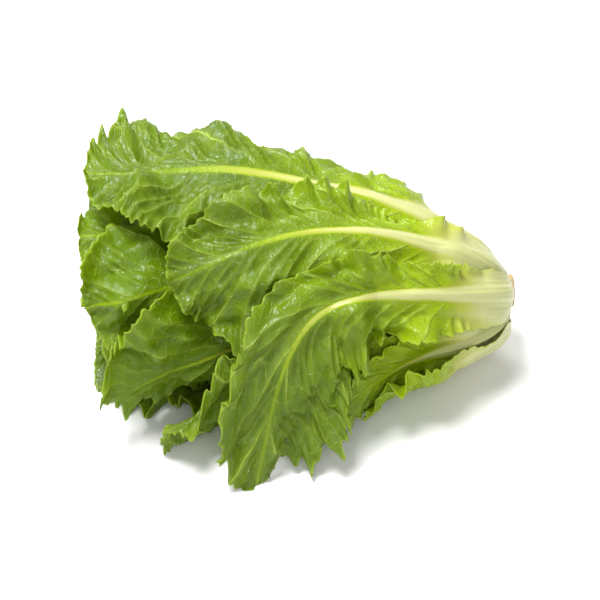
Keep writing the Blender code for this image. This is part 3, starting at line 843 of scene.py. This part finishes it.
    def shape(self, laid: LaidSurface, origin: np.ndarray, limits: "BoxLimit") -> tuple:
        """World points of both faces.

        Args:
            laid: the leaves inside this one; the leaf is added to it.
            origin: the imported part's origin.
            limits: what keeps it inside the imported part's box.

        Returns:
            Points of the inner and the outer face.
        """
        sheet, forms = self.sheet, self.forms
        rise = sheet.rise(self.v, self.t) + self.waves() + self.folds() + self.crumples()
        push = evened(evened(sheet.push_at(self.v, self.t), 2), 2)
        place = (self.across, self.along)
        along, angle, radius = sheet.polar(place, rise, push)
        short = np.maximum(laid.read(along, angle) + forms.clearance - radius, 0.0)
        most = forms.stalk_push + forms.blade_push * smooth(self.v, 0.22, 0.15)
        short = np.minimum(short, most) * smooth(self.v, 0.08, 0.12)
        push = push + evened(widened(short, forms.push_reach), forms.push_reach)
        inner, normal, outwards = sheet.faces_of(place, rise, push)
        normal = normal * np.sign(np.sum(normal * outwards))
        inner = inner + normal * self.relief()[..., None]
        thin = smooth(np.abs(self.t), 0.5, 0.5)
        blade = sheet.build.blade + (forms.edge_thickness - sheet.build.blade) * thin
        outer = inner + normal * (blade + sheet.rib(self.v, self.plain_across))[..., None]
        laid.add(inner)
        laid.add(outer)
        return self.let_down(inner - origin, outer - origin, limits)

    def let_down(self, near: np.ndarray, far: np.ndarray, limits: "BoxLimit") -> tuple:
        """Both faces with what is nearly on the surface let down on to it, and kept inside the box."""
        flat = self.sheet.head.flat
        low = np.minimum(near[..., 2], far[..., 2])
        drop = np.minimum(low, flat) * (1.0 - smooth(low, flat, 3.0 * flat))
        shift = drop[..., None] * np.array([0.0, 0.0, 1.0])
        middle = 0.5 * (near + far) - shift
        half = 0.5 * (far - near)
        middle = limits.kept(middle)
        return limits.clipped(middle - half), limits.clipped(middle + half)


@dataclass(frozen=True)
class BoxLimit:
    """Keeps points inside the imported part's box."""

    low: np.ndarray
    high: np.ndarray
    soft: float = 0.007

    def kept(self, points: np.ndarray) -> np.ndarray:
        """Points eased in over the last soft metres before each side, but not at the surface below.

        Past end - soft, x becomes end - soft exp((end - soft - x) / soft).
        """
        over = np.maximum(points - (self.high - self.soft), 0.0)
        points = points - over + self.soft * (1.0 - np.exp(-over / self.soft))
        under = np.maximum((self.low + self.soft) - points, 0.0) * np.array([1.0, 1.0, 0.0])
        return points + under - self.soft * (1.0 - np.exp(-under / self.soft))

    def clipped(self, points: np.ndarray) -> np.ndarray:
        """Points no further out than the box itself."""
        return np.clip(points, self.low, self.high)


def sheet_mesh(name: str, near: np.ndarray, far: np.ndarray) -> bpy.types.Mesh:
    """A closed sheet from two grids of points: quads on both faces, alike, and a rim round them.

    Args:
        name: the mesh's name.
        near: points of the inner face, rows by columns.
        far: points of the outer face.

    Returns:
        The mesh, with its faces pointing outwards.
    """
    rows, columns = near.shape[:2]
    number = np.arange(rows * columns).reshape(rows, columns)
    corners = [number[:-1, :-1], number[:-1, 1:], number[1:, 1:], number[1:, :-1]]
    quads = np.stack(corners, axis=-1).reshape(-1, 4)
    loop = np.concatenate([number[0, :-1], number[:-1, -1], number[-1, :0:-1], number[:0:-1, 0]])
    thick = far - near
    across = np.cross(np.gradient(near, axis=1), np.gradient(near, axis=0))
    if np.sum(across * thick) < 0.0:
        quads, loop = quads[:, ::-1], loop[::-1]
    count = rows * columns
    after = np.roll(loop, -1)
    rim = np.stack([after + count, loop + count, loop, after], axis=-1)
    faces = np.concatenate([quads[:, ::-1], quads + count, rim])
    return quad_mesh(name, np.concatenate([near.reshape(-1, 3), far.reshape(-1, 3)]), faces)


def quad_mesh(name: str, points: np.ndarray, faces: np.ndarray) -> bpy.types.Mesh:
    """A smooth-shaded mesh of quads from arrays."""
    mesh = bpy.data.meshes.new(name)
    mesh.vertices.add(len(points))
    mesh.vertices.foreach_set("co", points.astype(np.float32).ravel())
    mesh.loops.add(faces.size)
    mesh.loops.foreach_set("vertex_index", faces.astype(np.int32).ravel())
    mesh.polygons.add(len(faces))
    mesh.polygons.foreach_set("loop_start", np.arange(0, faces.size, 4, dtype=np.int32))
    mesh.polygons.foreach_set("use_smooth", np.ones(len(faces), dtype=bool))
    mesh.update(calc_edges=True)
    mesh.validate()
    return mesh


def add_values(mesh: bpy.types.Mesh, name: str, values: np.ndarray) -> None:
    """Gives a mesh one number at each vertex, under a name."""
    attribute = mesh.attributes.new(name, "FLOAT", "POINT")
    attribute.data.foreach_set("value", values.astype(np.float32).ravel())


def add_flat_map(mesh: bpy.types.Mesh, across: np.ndarray, along: np.ndarray) -> None:
    """Gives a mesh its leaf laid flat as a UV map, in metres."""
    corner = np.zeros(len(mesh.loops), dtype=np.int32)
    mesh.loops.foreach_get("vertex_index", corner)
    flat = np.stack([across, along], axis=-1).astype(np.float32)[corner]
    mesh.uv_layers.new(name="flat_leaf").uv.foreach_set("vector", flat.ravel())


def placed(mesh: bpy.types.Mesh, node: str) -> bpy.types.Object:
    """A piece with the mesh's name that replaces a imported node.

    Args:
        mesh: the finished mesh.
        node: the node that it replaces.

    Returns:
        The piece, at the origin.
    """
    piece = bpy.data.objects.new(mesh.name, mesh)
    bpy.context.scene.collection.objects.link(piece)
    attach(piece, "root")
    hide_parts(node)
    return piece


class Wire:
    """A socket whose arithmetic adds Math nodes."""

    def __init__(self, shop: "Workshop", socket: bpy.types.NodeSocket) -> None:
        """Wraps a socket of a material's nodes."""
        self.shop, self.socket = shop, socket

    def _math(self, operation: str, *values: "Wire | float") -> "Wire":
        """A Math node on some values."""
        node = self.shop.node("ShaderNodeMath", {"operation": operation}, dict(enumerate(values)))
        return Wire(self.shop, node.outputs[0])

    def __add__(self, other: "Wire | float") -> "Wire":
        """self + other."""
        return self._math("ADD", self, other)

    def __sub__(self, other: "Wire | float") -> "Wire":
        """self - other."""
        return self._math("SUBTRACT", self, other)

    def __rsub__(self, other: float) -> "Wire":
        """other - self."""
        return self._math("SUBTRACT", other, self)

    def __mul__(self, other: "Wire | float") -> "Wire":
        """self * other."""
        return self._math("MULTIPLY", self, other)

    __radd__ = __add__
    __rmul__ = __mul__

    def size(self) -> "Wire":
        """Its absolute value."""
        return self._math("ABSOLUTE", self)

    def remainder(self) -> "Wire":
        """What is left of it after the whole number."""
        return self._math("FRACT", self)

    def step(self, low: float, high: float) -> "Wire":
        """0 at low, 1 at high, and a smooth S curve between."""
        inputs = {0: self, 1: low, 2: high, 3: 0.0, 4: 1.0}
        node = self.shop.node("ShaderNodeMapRange", {"interpolation_type": "SMOOTHSTEP"}, inputs)
        return Wire(self.shop, node.outputs[0])


class Workshop:
    """Makes the nodes of one material."""

    def __init__(self, name: str) -> None:
        """Starts an empty material."""
        self.material = bpy.data.materials.new(name)
        self.material.use_nodes = True
        self.tree = self.material.node_tree
        self.tree.nodes.clear()

    def node(self, kind: str, settings: dict, inputs: dict) -> bpy.types.Node:
        """Makes a node.

        Args:
            kind: its type.
            settings: properties, set first.
            inputs: values or wires for its sockets, by name or number.

        Returns:
            The node.
        """
        node = self.tree.nodes.new(kind)
        for key, value in settings.items():
            setattr(node, key, value)
        for key, value in inputs.items():
            if isinstance(value, Wire):
                self.tree.links.new(value.socket, node.inputs[key])
            else:
                node.inputs[key].default_value = value
        return node

    def wire(self, kind: str, settings: dict, inputs: dict, output: str | int = 0) -> Wire:
        """One output of a new node."""
        return Wire(self, self.node(kind, settings, inputs).outputs[output])

    def value(self, name: str) -> Wire:
        """A number that the mesh holds at each vertex."""
        return self.wire("ShaderNodeAttribute", {"attribute_name": name}, {}, "Fac")

    def mix(self, share: "Wire | float", first: "Wire | tuple", second: "Wire | tuple") -> Wire:
        """Colour between two colours: (1 - share) first + share second."""
        node = self.node("ShaderNodeMix", {"data_type": "RGBA"}, {0: share, 6: first, 7: second})
        return Wire(self, node.outputs[2])

    def noise(self, place: Wire, scale: float, detail: float = 3.0, rough: float = 0.55) -> Wire:
        """Noise from 0 to 1 at a place."""
        inputs = {"Vector": place, "Scale": scale, "Detail": detail, "Roughness": rough}
        return self.wire("ShaderNodeTexNoise", {}, inputs)

    def bump(self, height: Wire, distance: float, strength: float = 1.0) -> Wire:
        """A normal from a height."""
        return self.wire("ShaderNodeBump", {}, {"Height": height, "Distance": distance, "Strength": strength})


def paint(red: int, green: int, blue: int) -> tuple[float, float, float, float]:
    """A shader colour from display values up to 255: ((c + 0.055) / 1.055)^2.4, or c / 12.92 below 0.04."""
    shares = [value / 255.0 for value in (red, green, blue)]
    linear = [((c + 0.055) / 1.055) ** 2.4 if c > 0.04045 else c / 12.92 for c in shares]
    return (*linear, 1.0)


@dataclass(frozen=True)
class LeafFinish:
    """The leaves' waxy surface: colours from the white stalk to the green blade, veins, gloss and glow.

    The last six fields are how many of a mark there are to a metre.
    """

    name: str
    deep: tuple = paint(78, 108, 8)
    blade: tuple = paint(124, 154, 10)
    lime: tuple = paint(164, 192, 2)
    cream: tuple = paint(192, 196, 92)
    white: tuple = paint(200, 203, 138)
    vein: tuple = paint(182, 206, 80)
    edge: tuple = paint(178, 206, 60)
    glow: tuple = paint(208, 222, 30)
    glow_share: float = 0.34
    roughness: float = 0.25
    streaks: float = 430.0
    clouds: float = 46.0
    grains: float = 900.0
    wrinkles: float = 190.0
    nets: float = 165.0
    small_nets: float = 420.0

    def material(self) -> bpy.types.Material:
        """Builds the material.

        Returns:
            A mix of a waxy surface and a share of light that comes through the blade.
        """
        shop = Workshop(self.name)
        flat = shop.wire("ShaderNodeUVMap", {"uv_map": "flat_leaf"}, {})
        pale, depth, face = (shop.value(name) for name in ("pale", "depth", "face"))
        rim, vein = shop.value("rim"), shop.value("vein")
        streak_place = shop.wire("ShaderNodeMapping", {}, {"Vector": flat, "Scale": (1.0, 0.045, 1.0)})
        streak = shop.noise(streak_place, self.streaks, 3.0)
        cloud = shop.noise(flat, self.clouds, 4.0)
        grain = shop.noise(flat, self.grains, 2.0)
        wrinkle = shop.noise(flat, self.wrinkles, 3.0, 0.6)
        bent = shop.wire("ShaderNodeTexNoise", {}, {"Vector": flat, "Scale": 85.0, "Detail": 2.0}, "Color")
        bent = shop.wire("ShaderNodeVectorMath", {"operation": "SCALE"}, {0: bent, "Scale": 0.010})
        woven = shop.wire("ShaderNodeVectorMath", {"operation": "ADD"}, {0: flat, 1: bent})
        net = self.network(shop, woven, self.nets, 0.09)
        small_net = self.network(shop, woven, self.small_nets, 0.12)
        off = ((vein + 0.5).remainder() - 0.5).size()
        line = 1.0 - off.step(0.006, 0.050)
        line = line * (1.0 - rim * 0.8)
        wide_line = 1.0 - off.step(0.02, 0.30)
        open_blade = 1.0 - pale.step(0.10, 0.50)
        green = shop.mix((depth + (cloud - 0.5) * 0.9).step(0.0, 0.62), self.lime, self.blade)
        green = shop.mix((depth + (cloud - 0.5) * 0.7).step(0.60, 1.25), green, self.deep)
        green = shop.mix((wide_line * 0.16 + net * 0.22 + small_net * 0.10) * open_blade, green, self.vein)
        green = shop.mix(line * 0.70 * open_blade, green, self.vein)
        tinted = shop.mix(pale.step(0.02, 0.40), green, self.lime)
        tinted = shop.mix((pale + (streak - 0.5) * 0.24).step(0.22, 0.68), tinted, self.cream)
        tinted = shop.mix((pale + (streak - 0.5) * 0.36).step(0.58, 1.05), tinted, self.white)
        tinted = shop.mix(rim.step(0.55, 1.0) * 0.55, tinted, self.edge)
        waxy = self.roughness + (cloud - 0.5) * 0.16 + (grain - 0.5) * 0.10
        relief = (line * 0.60 + net * 0.28 + small_net * 0.12) * open_blade * face
        relief = relief + grain * 0.08 + streak * pale * 0.45 + cloud * 0.5
        relief = relief + wrinkle * (0.20 + open_blade * 0.55)
        normal = shop.bump(relief, 0.0011, 1.0)
        surface = shop.wire("ShaderNodeBsdfPrincipled", {}, {
            "Base Color": tinted, "Roughness": waxy, "Normal": normal, "IOR": 1.45,
            "Specular IOR Level": 0.50})
        light = shop.wire("ShaderNodeBsdfTranslucent", {}, {"Color": self.glow})
        share = self.glow_share * (1.0 - pale.step(0.35, 1.0) * 0.75)
        mixed = shop.wire("ShaderNodeMixShader", {}, {0: share, 1: surface, 2: light})
        shop.node("ShaderNodeOutputMaterial", {}, {0: mixed})
        return shop.material

    def network(self, shop: Workshop, place: Wire, scale: float, width: float) -> Wire:
        """A net of fine veins: 1 on a cell's border and 0 inside it."""
        edge = shop.wire(
            "ShaderNodeTexVoronoi", {"feature": "DISTANCE_TO_EDGE", "voronoi_dimensions": "2D"},
            {"Vector": place, "Scale": scale})
        return 1.0 - edge.step(0.0, width)


@dataclass(frozen=True)
class StemFinish:
    """The stem: pale at its side, and a rough cut face that has turned brown."""

    name: str = "cut_stem"
    pale: tuple = paint(214, 204, 148)
    tan: tuple = paint(164, 116, 62)
    brown: tuple = paint(98, 58, 30)

    def material(self) -> bpy.types.Material:
        """Builds the material: rings and stains on the cut, from the vertices' own values."""
        shop = Workshop(self.name)
        place = shop.wire("ShaderNodeTexCoord", {}, {}, "Object")
        cut, ring = shop.value("cut"), shop.value("ring")
        stain = shop.noise(place, 240.0, 5.0, 0.65)
        fine = shop.noise(place, 1300.0, 3.0)
        ringed = (ring * 3.0 + (stain - 0.5) * 1.1).remainder()
        colour = shop.mix(stain.step(0.35, 0.68), self.tan, self.brown)
        colour = shop.mix(((ringed - 0.5).size()).step(0.30, 0.50) * 0.5, colour, self.pale)
        colour = shop.mix(cut * (0.55 + 0.45 * stain), self.pale, colour)
        normal = shop.bump(stain + fine * 0.5 + ringed * 0.3, 0.0009, 0.8)
        surface = shop.wire("ShaderNodeBsdfPrincipled", {}, {
            "Base Color": colour, "Roughness": 0.52 + (fine - 0.5) * 0.3 + cut * 0.2, "Normal": normal})
        shop.node("ShaderNodeOutputMaterial", {}, {0: surface})
        return shop.material


@dataclass
class Stem:
    """The short stem, turned, with a rough cut face."""

    head: HeadShape
    origin: np.ndarray
    limits: BoxLimit
    sides: int = 96
    rough: float = 0.0007
    finish: StemFinish = field(default_factory=StemFinish)

    def profile(self) -> tuple[np.ndarray, np.ndarray, np.ndarray]:
        """Distance along, radius and share of the cut face, from the cut's middle round to the tip."""
        head = self.head
        face = np.linspace(0.0, 1.0, 22)[1:]
        side = np.linspace(0.014, head.stem_length, 12)
        along = np.concatenate([0.0 * face, [0.0004, 0.0012, 0.003, 0.008], side])
        edge = head.stem_base - 0.0015
        narrowing = head.stem_radius(along[-14:]) - 0.0001
        radius = np.concatenate([edge * face, [edge + 0.0006, edge + 0.0012], narrowing])
        cut = np.concatenate([np.ones(len(face)), [1.0, 1.0, 0.7, 0.2], np.zeros(12)])
        return along, radius, cut

    def build(self) -> bpy.types.Object:
        """Turns the profile, roughens the cut inwards, closes both ends and dresses it."""
        along, radius, cut = self.profile()
        turn = np.arange(self.sides) * FULL_TURN / self.sides
        rings, sides = len(along), self.sides
        rng = np.random.default_rng(7)
        across, round_it = radius[:, None], turn[None, :]
        dent = sum(
            np.sin(across * a * 900.0 + b * 6.0 + c * round_it) * np.cos(round(c) * round_it + b)
            for a, b, c in rng.uniform(0.4, 5.0, (9, 3))) / 9.0
        inward = self.rough * (0.8 + dent) * cut[:, None]
        polar = np.broadcast_arrays(along[:, None] + np.maximum(inward, 0.0), round_it, across)
        points = self.head.settled(*polar).reshape(-1, 3)
        ends = self.head.settled(np.array([self.rough, self.head.stem_length]), np.zeros(2), np.zeros(2))
        points = self.limits.clipped(np.concatenate([points, ends]) - self.origin)
        number = np.arange(rings * sides).reshape(rings, sides)
        after = np.roll(number, -1, axis=1)
        quads = np.stack([number[:-1], number[1:], after[1:], after[:-1]], axis=-1).reshape(-1, 4)
        start, end = rings * sides, rings * sides + 1
        first = [(start, a, b) for a, b in zip(number[0].tolist(), after[0].tolist())]
        last = [(end, b, a) for a, b in zip(number[-1].tolist(), after[-1].tolist())]
        mesh = bpy.data.meshes.new("cut_stem_piece")
        mesh.from_pydata(points.tolist(), [], [*first, *quads.tolist(), *last])
        mesh.polygons.foreach_set("use_smooth", np.ones(len(mesh.polygons), dtype=bool))
        mesh.validate()
        add_values(mesh, "cut", np.concatenate([np.repeat(cut, sides), [1.0, 0.0]]))
        add_values(mesh, "ring", np.concatenate([np.repeat(radius / radius.max(), sides), [0.0, 0.0]]))
        mesh.materials.append(self.finish.material())
        return placed(mesh, "stem")


@dataclass
class Head:
    """The whole head: every leaf, from the heart outwards, and the stem.

    At a distance s from the foot, the pale midrib is (rib_share + stalk_more exp(-(s / stalk_reach)^2)) times
    as wide as the rib. pale_end and deep_start are distances from the foot and the stretches that follow.
    """

    shape: HeadShape
    build_sizes: LeafBuild
    forms: FineForms
    finishes: dict[str, LeafFinish]
    rib_share: float = 0.40
    stalk_more: float = 1.25
    stalk_reach: float = 0.085
    rib_greening: float = 0.80
    pale_end: tuple[float, float] = (0.020, 0.085)
    deep_start: tuple[float, float] = (0.060, 0.150)
    rim_width: float = 0.0035

    def build(self) -> list[bpy.types.Object]:
        """Makes every piece.

        Returns:
            The pieces, stem first.
        """
        sheets, origin, corner = CoarseLaying(self.shape).lay(self.build_sizes)
        log.info("laid %d sheets", len(sheets))
        limits = BoxLimit(corner * np.array([-1.0, -1.0, 0.0]) + 1e-5, corner - 1e-5)
        pieces = [Stem(self.shape, origin, limits).build()]
        materials = {slot: finish.material() for slot, finish in self.finishes.items()}
        laid = LaidSurface(self.shape)
        for sheet in reversed(sheets):
            pieces.append(self.dress(sheet, laid, origin, limits, materials))
            log.info("%s: %d faces", pieces[-1].name, len(pieces[-1].data.polygons))
        return pieces

    def dress(self, sheet: LeafSheet, laid: LaidSurface, origin: np.ndarray, limits: BoxLimit,
              materials: dict[str, bpy.types.Material]) -> bpy.types.Object:
        """Makes one leaf and its values, and lets it replace its solid."""
        leaf, layer = sheet.leaf, sheet.leaf.layer
        dressed = DressedLeaf(sheet, self.forms)
        near, far = dressed.shape(laid, origin, limits)
        mesh = sheet_mesh(leaf.name + "_blade", near, far)
        v, t = dressed.v, dressed.t
        width = sheet.half_width(v)
        stalk = self.rib_share + self.stalk_more * np.exp(-((dressed.from_foot / self.stalk_reach) ** 2))
        core = np.exp(-((dressed.plain_across / (0.0006 + stalk * sheet.rib_width(v))) ** 4))
        core = core * (1.0 - self.rib_greening * smooth(v, 0.40, 0.45))
        foot = 1.0 - smooth(dressed.from_foot, *self.pale_end)
        yellow = (1.0 - layer.green) * 0.5
        margin = smooth(np.abs(t), 0.5, 0.5)
        pale = np.clip(np.maximum(core, foot * (1.0 - 0.35 * margin)) + 0.3 * foot + yellow, 0.0, 1.0)
        depth = layer.green * smooth(dressed.from_foot, *self.deep_start)
        rim = 1.0 - np.clip((1.0 - np.abs(t)) * width / self.rim_width, 0.0, 1.0)
        for name, values in (("pale", pale), ("depth", depth), ("rim", rim), ("vein", dressed.vein)):
            add_values(mesh, name, np.tile(values.ravel(), 2))
        add_values(mesh, "face", np.repeat([-1.0, 1.0], v.size))
        add_flat_map(mesh, np.tile(dressed.across.ravel(), 2), np.tile(dressed.along.ravel(), 2))
        mesh.materials.append(materials[layer.slot])
        return placed(mesh, leaf.name)


@dataclass
class Studio:
    """A plain white surface, the camera, and soft lamps at the upper left, behind and in front.

    Each lamp has a name, a place, a width and a power.
    """

    lens: float = 85.0
    distance: float = 0.985
    elevation: float = 40.0
    target: tuple[float, float, float] = (0.0, -0.0089, 0.052)
    world: float = 0.34
    lamps: tuple[tuple, ...] = (
        ("key", (-0.30, 0.02, 1.20), 0.5, 19.0),
        ("sheen", (-0.35, 1.10, 1.05), 0.5, 13.0),
        ("fill", (0.05, -0.95, 0.65), 0.8, 5.0))

    def build(self) -> None:
        """Makes the floor, the lights and the camera."""
        self.floor()
        self.sky()
        for lamp in self.lamps:
            self.lamp(*lamp)
        self.camera()

    def floor(self) -> None:
        """The white surface that the head lies on."""
        grid = np.array([(-4.0, -4.0, 0.0), (4.0, -4.0, 0.0), (4.0, 4.0, 0.0), (-4.0, 4.0, 0.0)])
        mesh = quad_mesh("white_surface", grid - np.array([0.0, 0.0, 0.0002]), np.array([[0, 1, 2, 3]]))
        shop = Workshop("white_surface")
        place = shop.wire("ShaderNodeTexCoord", {}, {}, "Object")
        soft = shop.noise(place, 3.0)
        surface = shop.wire("ShaderNodeBsdfPrincipled", {}, {
            "Base Color": (0.93, 0.93, 0.93, 1.0), "Roughness": 0.6 + (soft - 0.5) * 0.05,
            "Specular IOR Level": 0.1})
        shop.node("ShaderNodeOutputMaterial", {}, {0: surface})
        mesh.materials.append(shop.material)
        floor = bpy.data.objects.new("white_surface", mesh)
        bpy.context.scene.collection.objects.link(floor)

    def sky(self) -> None:
        """White light from all round."""
        world = bpy.data.worlds.new("studio")
        world.use_nodes = True
        back = world.node_tree.nodes["Background"]
        back.inputs["Color"].default_value = (1.0, 1.0, 1.0, 1.0)
        back.inputs["Strength"].default_value = self.world
        bpy.context.scene.world = world
        bpy.context.scene.view_settings.view_transform = "Standard"

    def lamp(self, name: str, place: tuple[float, float, float], size: float, power: float) -> None:
        """A square soft lamp that faces the head."""
        light = bpy.data.lights.new(name, "AREA")
        light.size, light.energy = size, power
        lamp = bpy.data.objects.new(name, light)
        lamp.location = place
        lamp.rotation_euler = (Vector(self.target) - Vector(place)).to_track_quat("-Z", "Y").to_euler()
        bpy.context.scene.collection.objects.link(lamp)

    def camera(self) -> None:
        """The camera, at the photograph's viewing angle."""
        rise = math.radians(self.elevation)
        back = Vector((0.0, -math.cos(rise), math.sin(rise)))
        camera = bpy.data.objects.new("camera", bpy.data.cameras.new("camera"))
        camera.data.lens = self.lens
        camera.location = Vector(self.target) + back * self.distance
        camera.rotation_euler = (-back).to_track_quat("-Z", "Y").to_euler()
        bpy.context.scene.collection.objects.link(camera)
        bpy.context.scene.camera = camera


def write_size() -> None:
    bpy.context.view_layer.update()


def main() -> None:
    """Builds the studio and the head, and reports each piece."""
    logging.basicConfig(level=logging.INFO, format="%(message)s")
    finishes = {
        "outer_green": LeafFinish("outer_green"),
        # The middle and inner leaves' darker blade and deep greens are painted shade, for leaves that lie in
        # the shade of the outer ones
        "middle_green": LeafFinish("middle_green", deep=paint(56, 88, 4), blade=paint(106, 142, 6)),
        "heart_yellow": LeafFinish("heart_yellow", blade=paint(170, 186, 50), lime=paint(198, 206, 70)),
    }
    Studio().build()
    pieces = Head(HeadShape(), LeafBuild(), FineForms(), finishes).build()
    for piece in pieces:
        log.info("%s: %d vertices", piece.name, len(piece.data.vertices))
    write_size()


if __name__ == "__main__":
    main()
